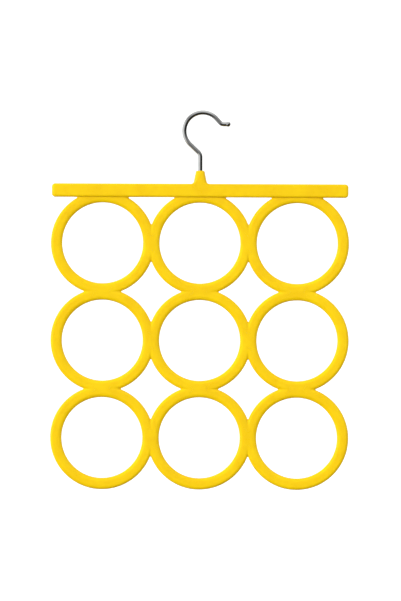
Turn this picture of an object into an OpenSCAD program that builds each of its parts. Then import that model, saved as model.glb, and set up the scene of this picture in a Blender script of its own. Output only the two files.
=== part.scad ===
// Scarf hanger: nine moulded rings under a top bar, hung from a wire hook that swivels in the bar's neck.
// The panel lies in the XZ plane, +Z is up and +Y points to its back.
// The origin is on the swivel axis, where a wardrobe rod touches the inside of the hook.

/* [Rings] */
// Width of the hole in each ring
ring_hole_d = 75; // [55:1:95]
// Width of the ring's band, from its hole to its outer edge
ring_band = 10.6; // [8:0.2:14]
// Thickness of the rings, whose edges are fully round
ring_t = 5; // [3:0.5:6]
// How far neighbouring rings run into each other
ring_merge = 5.8; // [5:0.1:7]

/* [Top bar] */
// Height of the bar, seen from the front
bar_h = 12.5; // [10:0.5:18]
// Thickness of the bar from front to back
bar_t = 9; // [8.5:0.25:12]
// How much shorter the bar is than the panel of rings, at each end
bar_inset = 0.85; // [0:0.05:3]
// Radius of the bar's corners, seen from the front
bar_corner_r = 3; // [1:0.25:5]
// Rounding of the bar's long edges
bar_edge_r = 2; // [0.5:0.25:3]
// How far the top rings run up behind the bar's lower edge
bar_bite = 5.5; // [4:0.25:8]

/* [Neck] */
// Height of the neck above the bar
neck_h = 12.2; // [8:0.2:20]
// Width of the neck at its top
neck_top_d = 8.2; // [7.4:0.2:10]
// Slope of the neck's sides from upright, in degrees
neck_taper = 11.5; // [4:0.5:15]
// Radius of the hollow flare where the neck runs into the bar
neck_flare_r = 3; // [1.5:0.25:4]
// Rounding of the neck's top edge
neck_top_r = 0.9; // [0.3:0.1:1]

/* [Hook] */
// Thickness of the wire
wire_d = 4.2; // [3:0.1:5]
// Width of the hook, inside its crook
crook_d = 30; // [26:1:45]
// How far the middle of the crook lies beside the stem
crook_offset = 2.2; // [0:0.1:5]
// Slope of the straight run between the stem and the crook, from upright, in degrees
stem_lean = 46.4; // [40:0.2:50]
// Radius of the stem's bend, at the middle of the wire
stem_bend_r = 6.5; // [5:0.25:9]
// Straight stem showing above the neck
stem_rise = 12.7; // [6:0.1:25]
// Slope of the run down to the tip, below level, in degrees
tip_lean = 47.8; // [35:0.2:60]
// Length of that run
tip_run = 5; // [2:0.25:8]
// Radius of the bend that turns the tip level, at the middle of the wire
tip_bend_r = 4.5; // [3.5:0.25:7]
// Level length of the tip, up to the middle of its ball
tip_l = 4.1; // [3:0.1:8]
// Width of the ball on the tip
tip_ball_d = 4.9; // [4.4:0.1:7]

/* [Swivel] */
// Length of the stem inside the neck and bar
stem_depth = 19; // [15:0.5:22]
// Width of the head on the foot of the stem
head_d = 6.4; // [5.6:0.1:7]
// Height of that head
head_h = 1.8; // [1:0.1:3]
// Gap all round the stem and its head
swivel_fit = 0.08; // [0.02:0.01:0.1]

/* [Hidden] */
$fn = 96;
yellow = "#ffd200";
chrome = "#c9ccd0";
// A length past every face, for cutting
clear = 4 * ring_hole_d;

// Rings
ring_r = ring_hole_d / 2 + ring_band;
ring_middle_r = ring_hole_d / 2 + ring_band / 2;
pitch = 2 * ring_r - ring_merge;

// Hook, from the rod's seat down to the top of the neck
wire_r = wire_d / 2;
// Straight runs are a hair slimmer than the bends, and their ends run on inside them
stem_r = wire_r - 0.01;
wire_lap = 0.2;
crook_r = crook_d / 2 + wire_r;
crook_z = -sqrt(pow(crook_d / 2, 2) - pow(crook_offset, 2));
lean_run = ((crook_r + stem_bend_r) * cos(stem_lean) - stem_bend_r - crook_offset) / sin(stem_lean);
bend_z = crook_z - (crook_r + stem_bend_r) * sin(stem_lean) - lean_run * cos(stem_lean);
neck_z = bend_z - stem_rise;

// Panel, from the neck down
bar_top_z = neck_z - neck_h;
bar_z = bar_top_z - bar_h;
row_z = bar_z - ring_r + bar_bite;
bar_l = 2 * pitch + 2 * ring_r - 2 * bar_inset;
edge_r = min(bar_edge_r, (bar_t - ring_t) / 2);
foot_z = neck_z - stem_depth;

// One straight run of wire, standing on the plane below it
module straight(length) {
    translate([0, 0, -wire_lap])
        cylinder(r = stem_r, h = length + 2 * wire_lap);
}

// A bend that starts on the plane below it and leans towards +X, about a centre at distance r
module bend(r, turn) {
    translate([r, 0, 0])
        rotate([90, 0, 0])
            rotate([0, 0, 180 - turn])
                rotate_extrude(angle = turn)
                    translate([r, 0])
                        circle(r = wire_r);
}

// Carries its children from the start of a bend to its end
module after_bend(r, turn) {
    translate([r, 0, 0])
        rotate([0, turn, 0])
            translate([-r, 0, 0])
                children();
}

// Carries its children along a length of wire
module after_straight(length) {
    translate([0, 0, length])
        children();
}

// The tip: a run down, a bend back to level and the ball
module tip() {
    straight(tip_run);
    after_straight(tip_run)
        mirror([1, 0, 0]) {
            bend(tip_bend_r, tip_lean);
            after_bend(tip_bend_r, tip_lean) {
                straight(tip_l);
                after_straight(tip_l)
                    sphere(d = tip_ball_d);
            }
        }
}

// The wire above the head: up the stem, left along the lean, round the crook and down to the tip
module wire() {
    cylinder(r = stem_r, h = bend_z - foot_z + wire_lap);
    after_straight(bend_z - foot_z)
        mirror([1, 0, 0]) {
            bend(stem_bend_r, stem_lean);
            after_bend(stem_bend_r, stem_lean) {
                straight(lean_run);
                after_straight(lean_run)
                    mirror([1, 0, 0]) {
                        crook_turn = 90 + stem_lean + tip_lean;
                        bend(crook_r, crook_turn);
                        after_bend(crook_r, crook_turn)
                            tip();
                    }
            }
        }
}

module hook() {
    color(chrome)
        translate([0, 0, foot_z]) {
            wire();
            cylinder(d = head_d, h = head_h);
        }
}

// The round neck's half outline, on the plane of the bar's top.
// Both arcs cross the straight side by the small amount arc_lap instead of just touching it.
module neck_outline() {
    arc_lap = 0.02;
    top_cz = neck_h - neck_top_r;
    top_cr = neck_top_d / 2 - neck_top_r;
    side_r = top_cr + neck_top_r * cos(neck_taper) - arc_lap;
    side_z = top_cz + neck_top_r * sin(neck_taper);
    foot_r = side_r + (side_z + edge_r) * tan(neck_taper);
    flare_z = neck_flare_r * (1 - sin(neck_taper));
    flare_side_r = side_r + (side_z - flare_z) * tan(neck_taper);
    flare_cr = flare_side_r + neck_flare_r * cos(neck_taper) - arc_lap;
    polygon([[0, -edge_r], [foot_r, -edge_r], [side_r, side_z], [0, side_z]]);
    translate([0, top_cz])
        square([top_cr, neck_top_r]);
    translate([top_cr, top_cz])
        circle(r = neck_top_r);
    difference() {
        translate([0, -edge_r])
            square([flare_cr, flare_z + edge_r]);
        translate([flare_cr, neck_flare_r])
            circle(r = neck_flare_r);
    }
}

// A rectangle with round corners
module rounded(width, height, r) {
    square([width, height - 2 * r], center = true);
    square([width - 2 * r, height], center = true);
    for (x = [-1, 1], y = [-1, 1])
        translate([x * (width / 2 - r), y * (height / 2 - r)])
            circle(r = r);
}

// The bar: its outline from the front, the end and above, all three at once
module bar() {
    translate([0, 0, bar_z + bar_h / 2])
        intersection() {
            rotate([90, 0, 0])
                linear_extrude(bar_t, center = true)
                    rounded(bar_l, bar_h, bar_corner_r);
            rotate([90, 0, 90])
                linear_extrude(bar_l, center = true)
                    rounded(bar_t, bar_h, edge_r);
            linear_extrude(bar_h, center = true)
                rounded(bar_l, bar_t, edge_r);
        }
}

module neck() {
    intersection() {
        translate([0, 0, bar_top_z])
            rotate_extrude()
                neck_outline();
        translate([0, 0, bar_top_z])
            cube([clear, bar_t, clear], center = true);
    }
}

module top_bar() {
    color(yellow)
        difference() {
            union() {
                bar();
                neck();
            }
            translate([0, 0, foot_z]) {
                cylinder(r = stem_r + swivel_fit, h = clear);
                translate([0, 0, -swivel_fit])
                    cylinder(d = head_d + 2 * swivel_fit, h = head_h + 2 * swivel_fit);
            }
        }
}

// The section of a ring's band: flat front and back, with a round edge on each side
module band() {
    square([ring_band - ring_t, ring_t], center = true);
    for (side = [-1, 1])
        translate([side * (ring_band - ring_t) / 2, 0])
            circle(d = ring_t);
}

// One ring of the panel, cut square where it meets its neighbours and the bar.
// Column and row run from -1, left and top, to 1, right and bottom. The right column mirrors the left.
module ring(column, row) {
    half = pitch / 2;
    outside = column == 0 ? half : clear;
    above = row == -1 ? ring_r - bar_bite : half;
    below = row == 1 ? clear : half;
    color(yellow)
        translate([column * pitch, 0, row_z - (row + 1) * pitch])
            mirror([column == 1 ? 1 : 0, 0, 0])
                intersection() {
                    rotate([90, 0, 0])
                        for (quarter = [0:90:270])
                            rotate([0, 0, quarter])
                                rotate_extrude(angle = 90)
                                    translate([ring_middle_r, 0])
                                        band();
                    translate([-outside, -ring_t, -below])
                        cube([outside + half, 2 * ring_t, below + above]);
                }
}

module ring_top_left() { ring(-1, -1); }
module ring_top_middle() { ring(0, -1); }
module ring_top_right() { ring(1, -1); }
module ring_middle_left() { ring(-1, 0); }
module ring_centre() { ring(0, 0); }
module ring_middle_right() { ring(1, 0); }
module ring_bottom_left() { ring(-1, 1); }
module ring_bottom_middle() { ring(0, 1); }
module ring_bottom_right() { ring(1, 1); }

hook();
top_bar();
ring_top_left();
ring_top_middle();
ring_top_right();
ring_middle_left();
ring_centre();
ring_middle_right();
ring_bottom_left();
ring_bottom_middle();
ring_bottom_right();
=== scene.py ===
"""Scarf hanger: nine moulded rings under a top bar, with a chromed wire hook that turns in the bar's neck.

The frame is the CAD's: metres, +Z up, the panel in the XZ plane with its front towards -Y, and the origin on the
swivel axis where a wardrobe rod touches the inside of the hook. Sizes repeat the named ones of the part's source.
"""
import math

import bmesh
import bpy
from mathutils import Euler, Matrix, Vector


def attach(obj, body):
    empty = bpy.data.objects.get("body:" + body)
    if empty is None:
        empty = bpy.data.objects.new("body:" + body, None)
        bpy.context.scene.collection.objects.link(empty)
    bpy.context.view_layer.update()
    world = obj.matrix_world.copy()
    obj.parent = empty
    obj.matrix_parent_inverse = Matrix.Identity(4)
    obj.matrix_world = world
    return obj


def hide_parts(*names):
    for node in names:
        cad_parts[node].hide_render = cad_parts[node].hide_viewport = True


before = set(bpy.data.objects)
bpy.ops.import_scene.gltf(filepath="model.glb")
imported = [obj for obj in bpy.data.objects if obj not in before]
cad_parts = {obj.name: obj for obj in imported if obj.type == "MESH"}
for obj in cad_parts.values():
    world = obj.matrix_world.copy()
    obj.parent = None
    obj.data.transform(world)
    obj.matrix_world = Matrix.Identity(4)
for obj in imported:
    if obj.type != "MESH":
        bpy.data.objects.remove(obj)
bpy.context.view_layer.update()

MM = 0.001

# Sizes in millimetres, as in the part's source
RING_HOLE_R = 37.5
RING_BAND = 10.6
RING_T = 5.0
RING_MERGE = 5.8
BAR_H = 12.5
BAR_T = 9.0
BAR_INSET = 0.85
BAR_CORNER_R = 3.0
BAR_EDGE_R = 2.0
BAR_BITE = 5.5
NECK_H = 12.2
NECK_TOP_D = 8.2
NECK_TAPER = math.radians(11.5)
NECK_FLARE_R = 3.0
NECK_TOP_R = 0.9
WIRE_R = 2.1
CROOK_D = 30.0
CROOK_OFFSET = 2.2
STEM_LEAN = math.radians(46.4)
STEM_BEND_R = 6.5
STEM_RISE = 12.7
TIP_LEAN = math.radians(47.8)
TIP_RUN = 5.0
TIP_BEND_R = 4.5
TIP_L = 4.1
TIP_BALL_R = 2.45
STEM_DEPTH = 19.0
HEAD_R = 3.2
HEAD_H = 1.8
SWIVEL_FIT = 0.08

RING_R = RING_HOLE_R + RING_BAND
PITCH = 2 * RING_R - RING_MERGE
CROOK_R = CROOK_D / 2 + WIRE_R
CROOK_Z = -math.sqrt((CROOK_D / 2) ** 2 - CROOK_OFFSET ** 2)
LEAN_RUN = ((CROOK_R + STEM_BEND_R) * math.cos(STEM_LEAN) - STEM_BEND_R - CROOK_OFFSET) / math.sin(STEM_LEAN)
BEND_Z = CROOK_Z - (CROOK_R + STEM_BEND_R) * math.sin(STEM_LEAN) - LEAN_RUN * math.cos(STEM_LEAN)
NECK_Z = BEND_Z - STEM_RISE
BAR_TOP_Z = NECK_Z - NECK_H
BAR_Z = BAR_TOP_Z - BAR_H
ROW_Z = BAR_Z - RING_R + BAR_BITE
BAR_L = 2 * PITCH + 2 * RING_R - 2 * BAR_INSET
FOOT_Z = NECK_Z - STEM_DEPTH

# Radius left by the cutter in the notch between two rings, and under the bar
NOTCH_R = 0.6
# How far a ring's rounding reaches in from its rim and from its hole: further than a half circle of its thickness
RIM_REACH = 3.0
HOLE_REACH = 3.8
# How far the rounding of the bar's ends reaches in, and the rounding of the neck's top edge
END_REACH = 3.0
NECK_ROUND_R = 1.4
# How far the top rings run on inside the bar, out of sight
BURIED = 1.2


def colour(code):
    """An sRGB hex value as linear RGBA."""
    parts = [int(code[i:i + 2], 16) / 255 for i in (1, 3, 5)]
    return (*[c / 12.92 if c <= 0.04045 else ((c + 0.055) / 1.055) ** 2.4 for c in parts], 1.0)


def add_node(tree, kind, sockets=None, **settings):
    """Adds a node with its settings. Each socket gets a value, or a link when its value is another socket."""
    node = tree.nodes.new(kind)
    for name, value in settings.items():
        setattr(node, name, value)
    for key, value in (sockets or {}).items():
        if isinstance(value, bpy.types.NodeSocket):
            tree.links.new(value, node.inputs[key])
        else:
            node.inputs[key].default_value = value
    return node


# Materials

def new_material(name):
    """A material with its Principled shader, and the object's own coordinates, in metres, to draw patterns on."""
    made = bpy.data.materials.new(name)
    made.use_nodes = True
    tree = made.node_tree
    place = add_node(tree, "ShaderNodeTexCoord").outputs["Object"]
    return made, tree, tree.nodes["Principled BSDF"], place


def maths(tree, known, rows):
    """Adds a Math node for each row of name, operation and terms. A term is a number or an earlier row's name."""
    for name, operation, *terms in rows:
        values = {i: known[t] if isinstance(t, str) else t for i, t in enumerate(terms)}
        known[name] = add_node(tree, "ShaderNodeMath", values, operation=operation).outputs[0]


def moulded_polypropylene():
    """Polypropylene, injection moulded in a polished mould.

    To the eye it is an even, saturated yellow with a soft gloss. Its tone drifts a little where the melt flowed,
    the gloss wavers over shallow sinks and a fine skin, and a thin raised line runs where the mould's halves met.
    """
    made, tree, shader, place = new_material("Moulded polypropylene, yellow")
    # Melt flow: clouds of tone about 24 mm long, and mottling of about 5 mm within them
    flow = add_node(tree, "ShaderNodeTexNoise", {"Vector": place, "Scale": 1 / (24 * MM), "Detail": 1.0,
                                                 "Distortion": 0.8})
    mottle = add_node(tree, "ShaderNodeTexNoise", {"Vector": place, "Scale": 1 / (5 * MM), "Detail": 1.0})
    # Shallow sinks of about 15 mm, where the thick parts shrank
    sinks = add_node(tree, "ShaderNodeTexNoise", {"Vector": place, "Scale": 1 / (15 * MM), "Detail": 0.0})
    # The skin's texture is about 0.2 mm in life, and is drawn at 1.3 mm to show
    skin = add_node(tree, "ShaderNodeTexNoise", {"Vector": place, "Scale": 1 / (1.3 * MM), "Detail": 1.0})
    depth = add_node(tree, "ShaderNodeSeparateXYZ", {0: place}).outputs[1]
    known = {"flow": flow.outputs[0], "mottle": mottle.outputs[0], "sinks": sinks.outputs[0],
             "skin": skin.outputs[0], "depth": depth}
    maths(tree, known, [
        ("tone", "MULTIPLY_ADD", "mottle", 0.45, "flow"),
        # The mould's parting line is about 0.05 mm wide in life, and is drawn at 0.25 mm to show
        ("off line", "ABSOLUTE", "depth"),
        ("line raw", "MULTIPLY_ADD", "off line", -1 / (0.125 * MM), 1.0),
        ("line", "MAXIMUM", "line raw", 0.0),
        # Heights in millimetres
        ("sink height", "MULTIPLY", "sinks", 0.10),
        ("skin height", "MULTIPLY_ADD", "skin", 0.004, "sink height"),
        ("height", "MULTIPLY_ADD", "line", 0.04, "skin height"),
        ("gloss", "MULTIPLY_ADD", "flow", 0.5, "skin"),
    ])
    tone = add_node(tree, "ShaderNodeValToRGB", {0: known["tone"]})
    for element, (position, code) in zip(tone.color_ramp.elements, [(0.5, "#f9cb03"), (0.95, "#fed504")]):
        element.position, element.color = position, colour(code)
    rough = add_node(tree, "ShaderNodeMapRange", {"Value": known["gloss"], "From Min": 0.5, "From Max": 1.0,
                                                  "To Min": 0.27, "To Max": 0.37})
    bump = add_node(tree, "ShaderNodeBump", {"Height": known["height"], "Strength": 1.0, "Distance": MM})
    tree.links.new(tone.outputs[0], shader.inputs["Base Color"])
    tree.links.new(rough.outputs[0], shader.inputs["Roughness"])
    tree.links.new(bump.outputs[0], shader.inputs["Normal"])
    shader.inputs["IOR"].default_value = 1.49
    shader.inputs["Specular IOR Level"].default_value = 0.2
    return made


def chromed_steel():
    """Steel wire drawn through a die, bent cold, polished and plated with bright chrome.

    To the eye it is a cool mirror with sharp light and dark stripes along the wire. Fine lines left by the die
    soften them a little, and they waver where the polishing wheel pressed.
    """
    made, tree, shader, place = new_material("Chrome plate on drawn steel wire")
    around = add_node(tree, "ShaderNodeAttribute", attribute_name="around wire").outputs["Vector"]
    along = add_node(tree, "ShaderNodeAttribute", attribute_name="along wire").outputs["Fac"]
    # Die lines are about 0.05 mm apart in life, and are drawn 0.3 mm apart and 14 mm long to show
    across = add_node(tree, "ShaderNodeVectorMath", {0: around, 1: (1 / (0.3 * MM),) * 3}, operation="MULTIPLY")
    known = {"along": along}
    maths(tree, known, [("run", "MULTIPLY", "along", 1 / (14 * MM))])
    onward = add_node(tree, "ShaderNodeCombineXYZ", {2: known["run"]})
    spot = add_node(tree, "ShaderNodeVectorMath", {0: across.outputs[0], 1: onward.outputs[0]}, operation="ADD")
    lines = add_node(tree, "ShaderNodeTexNoise", {"Vector": spot.outputs[0], "Scale": 1.0, "Detail": 1.0})
    # Polishing: soft waves about 6 mm long
    waves = add_node(tree, "ShaderNodeTexNoise", {"Vector": place, "Scale": 1 / (6 * MM), "Detail": 1.0})
    known.update({"lines": lines.outputs[0], "waves": waves.outputs[0]})
    maths(tree, known, [
        # Heights in millimetres
        ("wave height", "MULTIPLY", "waves", 0.03),
        ("height", "MULTIPLY_ADD", "lines", 0.002, "wave height"),
        ("haze", "MULTIPLY_ADD", "waves", 0.6, "lines"),
    ])
    rough = add_node(tree, "ShaderNodeMapRange", {"Value": known["haze"], "From Min": 0.55, "From Max": 1.05,
                                                  "To Min": 0.04, "To Max": 0.10})
    tint = add_node(tree, "ShaderNodeValToRGB", {0: known["waves"]})
    for element, (position, code) in zip(tint.color_ramp.elements, [(0.35, "#d2d3d2"), (0.65, "#dcdddc")]):
        element.position, element.color = position, colour(code)
    bump = add_node(tree, "ShaderNodeBump", {"Height": known["height"], "Strength": 1.0, "Distance": MM})
    tree.links.new(tint.outputs[0], shader.inputs["Base Color"])
    tree.links.new(rough.outputs[0], shader.inputs["Roughness"])
    tree.links.new(bump.outputs[0], shader.inputs["Normal"])
    shader.inputs["Metallic"].default_value = 1.0
    return made


PLASTIC = moulded_polypropylene()
CHROME = chromed_steel()


# Geometry

# Edges that turn by more than this stay sharp
SHARP_TURN = math.radians(35)


def new_tree(name, sizes):
    """A geometry tree with named inputs, and the sockets of those inputs."""
    tree = bpy.data.node_groups.new(name, "GeometryNodeTree")
    tree.interface.new_socket("Geometry", in_out="INPUT", socket_type="NodeSocketGeometry")
    tree.interface.new_socket("Geometry", in_out="OUTPUT", socket_type="NodeSocketGeometry")
    for size in sizes:
        tree.interface.new_socket(size, in_out="INPUT", socket_type="NodeSocketFloat")
    tree.interface.new_socket("Material", in_out="INPUT", socket_type="NodeSocketMaterial")
    return tree, add_node(tree, "NodeGroupInput").outputs


def end_tree(tree, shape, material):
    """Welds the shape, shades it smooth up to its sharp edges and hands it out."""
    weld = add_node(tree, "GeometryNodeMergeByDistance", {"Geometry": shape, "Distance": 0.002 * MM})
    smooth = add_node(tree, "GeometryNodeSetShadeSmooth", {"Geometry": weld.outputs[0], "Shade Smooth": True})
    angle = add_node(tree, "GeometryNodeInputMeshEdgeAngle").outputs["Unsigned Angle"]
    keen = add_node(tree, "FunctionNodeCompare", {0: angle, 1: SHARP_TURN}, operation="GREATER_THAN")
    creased = add_node(tree, "GeometryNodeSetShadeSmooth",
                       {"Geometry": smooth.outputs[0], "Selection": keen.outputs[0], "Shade Smooth": False},
                       domain="EDGE")
    real = add_node(tree, "GeometryNodeRealizeInstances", {"Geometry": creased.outputs[0]})
    dressed = add_node(tree, "GeometryNodeSetMaterial", {"Geometry": real.outputs[0], "Material": material})
    add_node(tree, "NodeGroupOutput", {"Geometry": dressed.outputs[0]})


def grown(name, tree, values, host_data=None):
    """Runs a tree on a host object and keeps the result as a plain mesh object."""
    host = bpy.data.objects.new(name + "_host", host_data or bpy.data.meshes.new(name + "_host"))
    bpy.context.scene.collection.objects.link(host)
    modifier = host.modifiers.new(tree.name, "NODES")
    modifier.node_group = tree
    for socket in tree.interface.items_tree:
        if socket.in_out == "INPUT" and socket.name in values:
            modifier[socket.identifier] = values[socket.name]
    host.update_tag()
    depsgraph = bpy.context.evaluated_depsgraph_get()
    mesh = bpy.data.meshes.new_from_object(host.evaluated_get(depsgraph), depsgraph=depsgraph)
    host.modifiers.remove(modifier)
    bpy.data.objects.remove(host)
    return placed(name, mesh)


def placed(name, mesh):
    """Puts a mesh in the scene, at the origin."""
    mesh.name = name
    piece = bpy.data.objects.new(name, mesh)
    bpy.context.scene.collection.objects.link(piece)
    return piece


# Steps of a ring's mesh: round each edge's quarter, and along half a side on the join, in the notch and on the curve
EDGE_STEPS = 8
JOIN_STEPS = 6
NOTCH_STEPS = 6
CURVE_STEPS = 12
HALF_SIDE = JOIN_STEPS + NOTCH_STEPS + CURVE_STEPS
ROUND_BAND = 4 * EDGE_STEPS + 2


def ring_tree():
    """One ring with fully round edges, cut flat where it meets a neighbour or the bar.

    Each point of a grid goes round the band (a) and round the ring (b). A ring has four sides, and each side two
    halves of 45 degrees. The notch left beside each join is filled with a small radius at every depth of the edge.
    """
    tree, given = new_tree("Ring", ["Hole radius", "Outer radius", "Thickness", "Rim rounding", "Hole rounding",
                                    "Notch radius", "Reach right", "Reach top", "Reach left", "Reach bottom",
                                    "Under bar", "Buried", "Across", "Up"])
    grid = add_node(tree, "GeometryNodeMeshGrid", {"Size X": 1.0, "Size Y": 1.0, "Vertices X": ROUND_BAND + 1,
                                                   "Vertices Y": 8 * HALF_SIDE + 1})
    spot = add_node(tree, "ShaderNodeSeparateXYZ", {0: add_node(tree, "GeometryNodeInputPosition").outputs[0]})
    known = {"x": spot.outputs[0], "y": spot.outputs[1], "hole": given["Hole radius"], "rim": given["Outer radius"],
             "thick": given["Thickness"], "rim edge": given["Rim rounding"], "hole edge": given["Hole rounding"],
             "notch": given["Notch radius"], "under": given["Under bar"],
             "buried": given["Buried"], "across": given["Across"], "up": given["Up"]}
    maths(tree, known, [
        ("a raw", "MULTIPLY_ADD", "x", ROUND_BAND, ROUND_BAND / 2),
        ("a", "ROUND", "a raw"),
        ("b raw", "MULTIPLY_ADD", "y", 8 * HALF_SIDE, 4 * HALF_SIDE),
        ("b", "ROUND", "b raw"),
        # Round the band: level 0 is the middle of its thickness, and the last level is on its face
        ("a back", "SUBTRACT", ROUND_BAND, "a"),
        ("fold", "MINIMUM", "a", "a back"),
        ("from rim", "SUBTRACT", 2 * EDGE_STEPS + 1, "fold"),
        ("level", "MINIMUM", "fold", "from rim"),
        ("outer", "GREATER_THAN", "fold", EDGE_STEPS + 0.5),
        ("inner", "SUBTRACT", 1, "outer"),
        ("tilt", "MULTIPLY", "level", math.pi / 2 / EDGE_STEPS),
        ("rise", "SINE", "tilt"),
        ("half thick", "MULTIPLY", "thick", 0.5),
        ("depth", "MULTIPLY", "half thick", "rise"),
        ("behind", "GREATER_THAN", "a", 2 * EDGE_STEPS + 1.5),
        ("facing", "MULTIPLY_ADD", "behind", 2, -1),
        ("place y", "MULTIPLY", "depth", "facing"),
        ("lean", "COSINE", "tilt"),
        ("set in", "SUBTRACT", 1, "lean"),
        ("hole r", "MULTIPLY_ADD", "hole edge", "set in", "hole"),
        ("rim inset", "MULTIPLY", "rim edge", "set in"),
        ("rim r", "SUBTRACT", "rim", "rim inset"),
        # Round the ring: which half side, which side, and how many steps from the side's middle
        ("half raw", "DIVIDE", "b", HALF_SIDE),
        ("half", "FLOOR", "half raw"),
        ("along", "MULTIPLY_ADD", "half", -HALF_SIDE, "b"),
        ("odd", "MODULO", "half", 2),
        ("flip", "MULTIPLY_ADD", "along", -2, HALF_SIDE),
        ("step", "MULTIPLY_ADD", "odd", "flip", "along"),
        ("hand", "MULTIPLY_ADD", "odd", -2, 1),
        ("side raw", "MULTIPLY_ADD", "half", 0.5, 0.5),
        ("side whole", "FLOOR", "side raw"),
        ("side", "MODULO", "side whole", 4),
        ("on top", "COMPARE", "side", 1, 0.1),
        ("bar", "MULTIPLY", "on top", "under"),
    ])
    reach = add_node(tree, "GeometryNodeIndexSwitch", {"Index": known["side"]}, data_type="FLOAT")
    while len(reach.index_switch_items) < 4:
        reach.index_switch_items.new()
    for i, name in enumerate(["Reach right", "Reach top", "Reach left", "Reach bottom"]):
        tree.links.new(given[name], reach.inputs[i + 1])
    known["reach"] = reach.outputs[0]
    maths(tree, known, [
        ("free", "LESS_THAN", "reach", 0.001 * MM),
        # Middle of the notch's radius, beside the join
        ("bar notch", "MULTIPLY", "bar", "notch"),
        ("notch u", "SUBTRACT", "reach", "bar notch"),
        ("swing", "ADD", "rim r", "notch"),
        ("swing 2", "MULTIPLY", "swing", "swing"),
        ("notch u 2", "MULTIPLY", "notch u", "notch u"),
        ("notch v 2", "SUBTRACT", "swing 2", "notch u 2"),
        ("notch v", "SQRT", "notch v 2"),
        ("meet", "ARCTAN2", "notch v", "notch u"),
        # On the join
        ("join part", "DIVIDE", "step", JOIN_STEPS),
        ("join t", "MINIMUM", "join part", 1),
        ("join short", "SUBTRACT", "notch", "bar notch"),
        ("join v end", "SUBTRACT", "notch v", "join short"),
        ("join v", "MULTIPLY", "join v end", "join t"),
        ("join u", "MULTIPLY_ADD", "bar", "buried", "reach"),
        # In the notch
        ("notch from", "MULTIPLY_ADD", "bar", math.pi / 2, -math.pi / 2),
        ("notch to", "SUBTRACT", "meet", math.pi),
        ("notch span", "SUBTRACT", "notch to", "notch from"),
        ("notch t", "MULTIPLY_ADD", "step", 1 / NOTCH_STEPS, -JOIN_STEPS / NOTCH_STEPS),
        ("notch turn", "MULTIPLY_ADD", "notch t", "notch span", "notch from"),
        ("notch cos", "COSINE", "notch turn"),
        ("notch sin", "SINE", "notch turn"),
        ("arc u", "MULTIPLY_ADD", "notch", "notch cos", "notch u"),
        ("arc v", "MULTIPLY_ADD", "notch", "notch sin", "notch v"),
        # On the ring's own curve, which takes the whole half side where nothing joins it
        ("even turn", "MULTIPLY", "step", math.pi / 4 / HALF_SIDE),
        ("curve t", "MULTIPLY_ADD", "step", 1 / CURVE_STEPS, -(JOIN_STEPS + NOTCH_STEPS) / CURVE_STEPS),
        ("curve span", "SUBTRACT", math.pi / 4, "meet"),
        ("joined turn", "MULTIPLY_ADD", "curve t", "curve span", "meet"),
        ("plain", "MAXIMUM", "free", "inner"),
        ("turn gap", "SUBTRACT", "even turn", "joined turn"),
        ("curve turn", "MULTIPLY_ADD", "plain", "turn gap", "joined turn"),
        ("band gap", "SUBTRACT", "rim r", "hole r"),
        ("curve r", "MULTIPLY_ADD", "outer", "band gap", "hole r"),
        ("curve cos", "COSINE", "curve turn"),
        ("curve sin", "SINE", "curve turn"),
        ("curve u", "MULTIPLY", "curve r", "curve cos"),
        ("curve v", "MULTIPLY", "curve r", "curve sin"),
        # The one of the three that this point lies on
        ("past notch", "GREATER_THAN", "step", JOIN_STEPS + NOTCH_STEPS - 0.5),
        ("on curve", "MAXIMUM", "plain", "past notch"),
        ("past join", "GREATER_THAN", "step", JOIN_STEPS + 0.5),
        ("u gap", "SUBTRACT", "arc u", "join u"),
        ("u join", "MULTIPLY_ADD", "past join", "u gap", "join u"),
        ("u gap 2", "SUBTRACT", "curve u", "u join"),
        ("u", "MULTIPLY_ADD", "on curve", "u gap 2", "u join"),
        ("v gap", "SUBTRACT", "arc v", "join v"),
        ("v join", "MULTIPLY_ADD", "past join", "v gap", "join v"),
        ("v gap 2", "SUBTRACT", "curve v", "v join"),
        ("v one", "MULTIPLY_ADD", "on curve", "v gap 2", "v join"),
        ("v", "MULTIPLY", "v one", "hand"),
        # Turned to its side and moved to the ring's place
        ("turn", "MULTIPLY", "side", math.pi / 2),
        ("cos", "COSINE", "turn"),
        ("sin", "SINE", "turn"),
        ("u cos", "MULTIPLY_ADD", "u", "cos", "across"),
        ("v sin", "MULTIPLY", "v", "sin"),
        ("place x", "SUBTRACT", "u cos", "v sin"),
        ("u sin", "MULTIPLY_ADD", "u", "sin", "up"),
        ("place z", "MULTIPLY_ADD", "v", "cos", "u sin"),
    ])
    place = add_node(tree, "ShaderNodeCombineXYZ", {i: known["place " + axis] for i, axis in enumerate("xyz")})
    moved = add_node(tree, "GeometryNodeSetPosition", {"Geometry": grid.outputs["Mesh"], "Position": place.outputs[0]})
    end_tree(tree, moved.outputs[0], given["Material"])
    return tree


def make_rings():
    """The nine rings, each with its own joins."""
    tree = ring_tree()
    names = [["ring_top_left", "ring_top_middle", "ring_top_right"],
             ["ring_middle_left", "ring_centre", "ring_middle_right"],
             ["ring_bottom_left", "ring_bottom_middle", "ring_bottom_right"]]
    join = PITCH / 2
    for row, row_names in enumerate(names):
        for column, name in enumerate(row_names):
            piece = grown(name + "_moulding", tree, {
                "Hole radius": RING_HOLE_R * MM, "Outer radius": RING_R * MM, "Thickness": RING_T * MM,
                "Rim rounding": RIM_REACH * MM, "Hole rounding": HOLE_REACH * MM, "Notch radius": NOTCH_R * MM,
                "Reach right": join * MM * (column < 2),
                "Reach top": (RING_R - BAR_BITE if row == 0 else join) * MM, "Reach left": join * MM * (column > 0),
                "Reach bottom": join * MM * (row < 2), "Under bar": float(row == 0), "Buried": BURIED * MM,
                "Across": (column - 1) * PITCH * MM, "Up": (ROW_Z - row * PITCH) * MM, "Material": PLASTIC})
            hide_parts(name)
            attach(piece, "panel")


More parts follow.
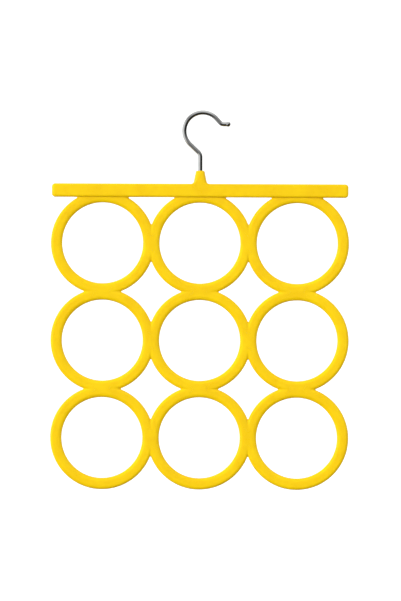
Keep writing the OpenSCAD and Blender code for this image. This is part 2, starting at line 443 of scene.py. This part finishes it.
def loft(name, loops, material):
    """A closed mesh through loops of points, each as long as the last, in millimetres."""
    shape = bmesh.new()
    rows = [[shape.verts.new(Vector(p) * MM) for p in loop] for loop in loops]
    for low, high in zip(rows, rows[1:]):
        for i in range(len(low)):
            shape.faces.new((low[i - 1], low[i], high[i], high[i - 1]))
    shape.faces.new(rows[0])
    shape.faces.new(rows[-1])
    bmesh.ops.recalc_face_normals(shape, faces=shape.faces)
    mesh = bpy.data.meshes.new(name)
    shape.to_mesh(mesh)
    shape.free()
    mesh.materials.append(material)
    return placed(name, mesh)


def combined(piece, other, operation):
    """Adds or cuts another object, which is used up."""
    modifier = piece.modifiers.new(operation, "BOOLEAN")
    modifier.operation, modifier.object, modifier.solver = operation, other, "EXACT"
    depsgraph = bpy.context.evaluated_depsgraph_get()
    mesh = bpy.data.meshes.new_from_object(piece.evaluated_get(depsgraph), depsgraph=depsgraph)
    piece.modifiers.remove(modifier)
    piece.data = mesh
    bpy.data.objects.remove(other)


def shade_smooth(piece):
    piece.data.shade_smooth()
    piece.data.set_sharp_from_angle(angle=SHARP_TURN)


def circle_points(r, z, steps=64):
    return [(r * math.cos(t), r * math.sin(t), z) for t in [2 * math.pi * i / steps for i in range(steps)]]


def bar_loop(depth, inset, steps=10):
    """The bar's outline from the front at one depth, drawn in by the inset."""
    r = BAR_CORNER_R - inset
    wide, high = BAR_L / 2 - BAR_CORNER_R - (END_REACH / BAR_EDGE_R - 1) * inset, BAR_H / 2 - BAR_CORNER_R
    points = []
    for quarter, (sx, sz) in enumerate([(1, 1), (-1, 1), (-1, -1), (1, -1)]):
        for i in range(steps + 1):
            t = math.pi / 2 * (quarter + i / steps)
            points.append((sx * wide + r * math.cos(t), depth, BAR_Z + BAR_H / 2 + sz * high + r * math.sin(t)))
    return points


def bar_body(name, steps=8):
    """The bar without its neck, from its back to its front."""
    turns = [math.pi / 2 * i / steps for i in range(steps + 1)]
    levels = [(1, t) for t in reversed(turns)] + [(-1, t) for t in turns]
    loops = [bar_loop(side * (BAR_T / 2 - BAR_EDGE_R + BAR_EDGE_R * math.sin(t)), BAR_EDGE_R * (1 - math.cos(t)))
             for side, t in levels]
    return loft(name, loops, PLASTIC)


def neck_profile(flare_steps=10, top_steps=8):
    """Half widths and heights of the neck over the bar's top, from its foot to its top."""
    sin, cos = math.sin(NECK_TAPER), math.cos(NECK_TAPER)
    # The side's distance from the axis, square to itself, as the source's smaller rounding sets it
    side = (NECK_TOP_D / 2 - NECK_TOP_R) * cos + (NECK_H - NECK_TOP_R) * sin + NECK_TOP_R
    top_cz = NECK_H - NECK_ROUND_R
    top_cr = (side - NECK_ROUND_R - top_cz * sin) / cos
    side_r = top_cr + NECK_ROUND_R * cos
    side_z = top_cz + NECK_ROUND_R * sin
    flare_z = NECK_FLARE_R * (1 - sin)
    flare_side_r = side_r + (side_z - flare_z) * math.tan(NECK_TAPER)
    flare_cr = flare_side_r + NECK_FLARE_R * cos
    points = [(flare_cr, -BAR_EDGE_R)]
    for i in range(flare_steps + 1):
        t = math.pi / 2 - (math.pi / 2 - NECK_TAPER) * i / flare_steps
        points.append((flare_cr - NECK_FLARE_R * math.cos(t), NECK_FLARE_R * (1 - math.sin(t))))
    for i in range(top_steps + 1):
        t = NECK_TAPER + (math.pi / 2 - NECK_TAPER) * i / top_steps
        points.append((top_cr + NECK_ROUND_R * math.cos(t), top_cz + NECK_ROUND_R * math.sin(t)))
    return points


def neck_loop(r, z, steps=96):
    """A circle held within the bar's thickness. Its round turns into the flat softly, over the length soft."""
    points, limit, soft = [], BAR_T / 2, 0.6
    for i in range(steps):
        t = 2 * math.pi * i / steps
        y = abs(r * math.sin(t))
        near = max(soft - abs(y - limit), 0) / soft
        y = min(y, limit) - near * near * soft / 4
        points.append((r * math.cos(t), math.copysign(y, math.sin(t)), BAR_TOP_Z + z))
    return points


def make_top_bar():
    """The bar with its neck, the bore for the stem and the pocket for its head."""
    piece = bar_body("top_bar_moulding")
    neck = loft("neck", [neck_loop(r, z) for r, z in neck_profile()], PLASTIC)
    combined(piece, neck, "UNION")
    bore_r, pocket_r = WIRE_R + SWIVEL_FIT, HEAD_R + SWIVEL_FIT
    low, high, past_neck = FOOT_Z - SWIVEL_FIT, FOOT_Z + HEAD_H + SWIVEL_FIT, NECK_Z + 5
    loops = [circle_points(pocket_r, low), circle_points(pocket_r, high), circle_points(bore_r, high),
             circle_points(bore_r, past_neck)]
    combined(piece, loft("bore", loops, PLASTIC), "DIFFERENCE")
    shade_smooth(piece)
    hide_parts("top_bar")
    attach(piece, "panel")


# The hook

def hook_path():
    """Points and radii of the wire, from the foot of the stem to the end of the tip, in millimetres."""
    spot, heading, path = Vector((0, 0, FOOT_Z)), 0.0, []

    def put(r):
        path.append((spot.copy(), r))

    def straight(length, steps, r=WIRE_R):
        for _ in range(steps):
            spot.x += length / steps * math.sin(heading)
            spot.z += length / steps * math.cos(heading)
            put(r)

    def bend(r, turn):
        nonlocal heading
        fewest, per_radian = 6, 20
        steps = max(fewest, round(abs(turn) * per_radian))
        for _ in range(steps):
            chord = 2 * r * math.sin(abs(turn) / steps / 2)
            heading += turn / steps / 2
            spot.x += chord * math.sin(heading)
            spot.z += chord * math.cos(heading)
            heading += turn / steps / 2
            put(WIRE_R)

    # The head's top narrows to the wire within the height of its ledge
    ledge = 0.01
    put(HEAD_R)
    straight(HEAD_H, 1, HEAD_R)
    straight(ledge, 1)
    straight(BEND_Z - FOOT_Z - HEAD_H - ledge, 6)
    bend(STEM_BEND_R, -STEM_LEAN)
    straight(LEAN_RUN, 3)
    bend(CROOK_R, math.pi / 2 + STEM_LEAN + TIP_LEAN)
    straight(TIP_RUN, 3)
    bend(TIP_BEND_R, -TIP_LEAN)
    # The tip swells into its ball, whose radii run down to almost nothing at the end
    swell = math.sqrt(TIP_BALL_R ** 2 - WIRE_R ** 2)
    straight(TIP_L - swell, 3)
    begin, last, steps, least_r = math.acos(swell / TIP_BALL_R), -swell, 24, 0.02
    for i in range(1, steps + 1):
        angle = begin + (math.pi - begin) * i / steps
        reach = -TIP_BALL_R * math.cos(angle)
        straight(reach - last, 1, max(TIP_BALL_R * math.sin(angle), least_r))
        last = reach
    return path


def wire_tree():
    """Round wire along the host curve, as thick at each point as the curve's radius says.

    Each point keeps its place round the wire and along it, for the drawn lines of the metal.
    """
    tree, given = new_tree("Wire", ["Thickness"])
    half = add_node(tree, "ShaderNodeMath", {0: given["Thickness"], 1: 0.5}, operation="MULTIPLY")
    circle = add_node(tree, "GeometryNodeCurvePrimitiveCircle", {"Resolution": 40, "Radius": half.outputs[0]})
    section = add_node(tree, "GeometryNodeStoreNamedAttribute",
                       {"Geometry": circle.outputs["Curve"], "Name": "around wire",
                        "Value": add_node(tree, "GeometryNodeInputPosition").outputs[0]}, data_type="FLOAT_VECTOR")
    line = add_node(tree, "GeometryNodeStoreNamedAttribute",
                    {"Geometry": given["Geometry"], "Name": "along wire",
                     "Value": add_node(tree, "GeometryNodeSplineParameter").outputs["Length"]})
    wire = add_node(tree, "GeometryNodeCurveToMesh",
                    {"Curve": line.outputs[0], "Profile Curve": section.outputs[0],
                     "Scale": add_node(tree, "GeometryNodeInputRadius").outputs[0], "Fill Caps": True})
    end_tree(tree, wire.outputs[0], given["Material"])
    return tree


def make_hook():
    """The wire hook, from the head on its foot to the ball on its tip."""
    path = hook_path()
    line = bpy.data.curves.new("hook_path", "CURVE")
    line.dimensions = "3D"
    spline = line.splines.new("POLY")
    spline.points.add(len(path) - 1)
    for point, (spot, r) in zip(spline.points, path):
        point.co = (*(spot * MM), 1)
        point.radius = r / WIRE_R
    piece = grown("hook_wire", wire_tree(), {"Thickness": 2 * WIRE_R * MM, "Material": CHROME}, line)
    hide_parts("hook")
    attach(piece, "hook")


# Studio

def make_stage():
    """A pale floor and backdrop. They are white to the camera, and the floor keeps the object's shadow.

    Both stand so far off that a camera behind or below the hanger still sees it. The backdrop casts no shadow, so the
    lamp behind it shines through.
    """
    made, tree, shader, _ = new_material("Matt white stage paint")
    shader.inputs["Base Color"].default_value = colour("#949492")
    shader.inputs["Roughness"].default_value = 0.9
    shader.inputs["Specular IOR Level"].default_value = 0.0
    rays = add_node(tree, "ShaderNodeLightPath").outputs
    known = {"camera": rays["Is Camera Ray"], "glossy": rays["Is Glossy Ray"], "through": rays["Is Transmission Ray"]}
    maths(tree, known, [
        ("direct", "MAXIMUM", "camera", "glossy"),
        ("seen", "MAXIMUM", "direct", "through"),
        # With the light that falls on the paint, this comes to white
        ("glow", "MULTIPLY", "seen", 0.95),
    ])
    tree.links.new(known["glow"], shader.inputs["Emission Strength"])
    shader.inputs["Emission Color"].default_value = (1, 1, 1, 1)
    # In metres
    floor_z, back, half, top = -4.0, 8.0, 20.0, 12.0
    outlines = {"floor": [(-half, floor_z), (back, floor_z)], "backdrop": [(back, floor_z), (back, top)]}
    for name, outline in outlines.items():
        shape = bmesh.new()
        low, high = [[shape.verts.new((x, y, z)) for x in (-half, half)] for y, z in outline]
        shape.faces.new((low[0], low[1], high[1], high[0]))
        mesh = bpy.data.meshes.new(name)
        shape.to_mesh(mesh)
        shape.free()
        mesh.materials.append(made)
        piece = placed(name, mesh)
        piece.visible_glossy = False
        piece.visible_shadow = name == "floor"


def make_world():
    """The studio round the object.

    Matt surfaces get even light from the front, and less from behind. Glossy ones show the room, as the chrome in
    the photograph does: a bright panel on the left and one overhead with grey between them, a faint window up on the
    right behind the camera, darkness low on the right, and the white backdrop behind.
    """
    world = bpy.data.worlds.new("Studio")
    bpy.context.scene.world = world
    world.use_nodes = True
    tree = world.node_tree
    tree.nodes.clear()
    way = add_node(tree, "ShaderNodeTexCoord").outputs["Generated"]
    spot = add_node(tree, "ShaderNodeSeparateXYZ", {0: way})
    known = {"x": spot.outputs[0], "y": spot.outputs[1], "z": spot.outputs[2]}
    maths(tree, known, [
        ("x size", "ABSOLUTE", "x"),
        ("z size", "ABSOLUTE", "z"),
        ("right and height", "ADD", "x", "z size"),
        ("left", "MULTIPLY", "right and height", -1),
        ("top", "SUBTRACT", "z", "x size"),
    ])
    # The walls: grey on their lit side and dark away from it, by the cosine of the angle between
    lit_way = Vector((-0.55, 0.3, 0.7)).normalized()
    facing = add_node(tree, "ShaderNodeVectorMath", {0: way, 1: lit_way}, operation="DOT_PRODUCT")
    part = add_node(tree, "ShaderNodeMapRange", {"Value": facing.outputs["Value"], "From Min": -1.0, "From Max": 1.0})
    ramp = add_node(tree, "ShaderNodeValToRGB", {0: part.outputs[0]})
    stops = [(-0.5, 0.02), (-0.4, 0.06), (-0.3, 0.18), (-0.1, 0.3), (0.1, 0.38)]
    while len(ramp.color_ramp.elements) < len(stops):
        ramp.color_ramp.elements.new(1.0)
    for element, (cosine, level) in zip(ramp.color_ramp.elements, stops):
        element.position = (cosine + 1) / 2
        element.color = (level, level, level, 1)
    known["level"] = ramp.outputs[0]
    # The two panels and the window add to the walls, each with a soft edge from its start to its end
    window_way = Vector((0.38, -0.83, 0.40)).normalized()
    toward = add_node(tree, "ShaderNodeVectorMath", {0: way, 1: window_way}, operation="DOT_PRODUCT")
    known["window"] = toward.outputs["Value"]
    for place, start, end, gain in [("left", 0.0, 0.5, 0.52), ("top", 0.0, 0.6, 0.4), ("window", 0.89, 0.99, 0.09)]:
        bright = add_node(tree, "ShaderNodeMapRange", {"Value": known[place], "From Min": start, "From Max": end,
                                                       "To Max": gain}, interpolation_type="SMOOTHSTEP")
        known["bright"] = bright.outputs[0]
        maths(tree, known, [("level", "ADD", "level", "bright")])
    # The backdrop turns what lies straight behind white
    behind = add_node(tree, "ShaderNodeMapRange", {"Value": known["y"], "From Min": 0.35, "From Max": 0.9},
                      interpolation_type="SMOOTHSTEP")
    known["behind"] = behind.outputs[0]
    maths(tree, known, [("short", "SUBTRACT", 1, "level"), ("shown", "MULTIPLY_ADD", "short", "behind", "level")])
    room = add_node(tree, "ShaderNodeBackground", {"Color": known["shown"], "Strength": 1.0})
    # The even light, from the front's strength to the strength behind
    even = add_node(tree, "ShaderNodeMapRange", {"Value": known["y"], "From Min": 0.1, "From Max": 0.3,
                                                 "To Min": 0.95, "To Max": 0.36}, interpolation_type="SMOOTHSTEP")
    even = add_node(tree, "ShaderNodeBackground", {"Color": (1, 1, 1, 1), "Strength": even.outputs[0]})
    # A little over white, so that no noise shows in it
    white = add_node(tree, "ShaderNodeBackground", {"Color": (1, 1, 1, 1), "Strength": 1.05})
    rays = add_node(tree, "ShaderNodeLightPath").outputs
    light = add_node(tree, "ShaderNodeMixShader", {0: rays["Is Glossy Ray"], 1: even.outputs[0], 2: room.outputs[0]})
    shown = add_node(tree, "ShaderNodeMixShader", {0: rays["Is Camera Ray"], 1: light.outputs[0], 2: white.outputs[0]})
    add_node(tree, "ShaderNodeOutputWorld", {"Surface": shown.outputs[0]})


def make_lamp(name, aim, strength, soft):
    """A distant lamp that shines along a direction, with its disc's width in degrees."""
    lamp = bpy.data.lights.new(name, "SUN")
    lamp.energy = strength
    lamp.angle = math.radians(soft)
    holder = bpy.data.objects.new(name, lamp)
    holder.rotation_euler = Vector(aim).to_track_quat("-Z", "Y").to_euler()
    holder.visible_glossy = False
    bpy.context.scene.collection.objects.link(holder)


def make_camera():
    """Square on to the panel, rolled a quarter of a degree as in the photograph."""
    # The picture's scale in millimetres to a pixel, its height in pixels and its middle on the panel in millimetres
    scale, tall, across, up = 0.929, 601, 0.71, -172.36
    distance, roll = 3.0, 0.00421
    data = bpy.data.cameras.new("Camera")
    data.sensor_fit = "AUTO"
    data.sensor_width = 36.0
    data.lens = data.sensor_width * distance / (tall * scale * MM)
    data.clip_start, data.clip_end = 0.1, 20.0
    camera = bpy.data.objects.new("Camera", data)
    camera.location = (across * MM, -distance, up * MM)
    camera.rotation_euler = Euler((math.pi / 2, 0, 0))
    camera.rotation_euler.rotate_axis("Z", roll)
    bpy.context.scene.collection.objects.link(camera)
    bpy.context.scene.camera = camera


bpy.context.scene.view_settings.view_transform = "Standard"
make_camera()
make_rings()
make_top_bar()
make_hook()
make_stage()
make_world()
make_lamp("Key lamp", aim=(0.349, 0.883, -0.314), strength=0.69, soft=25)
make_lamp("Left lamp", aim=(0.93, 0.35, 0.0), strength=1.76, soft=40)
make_lamp("Back lamp", aim=(0, -1, 0), strength=2.3, soft=40)
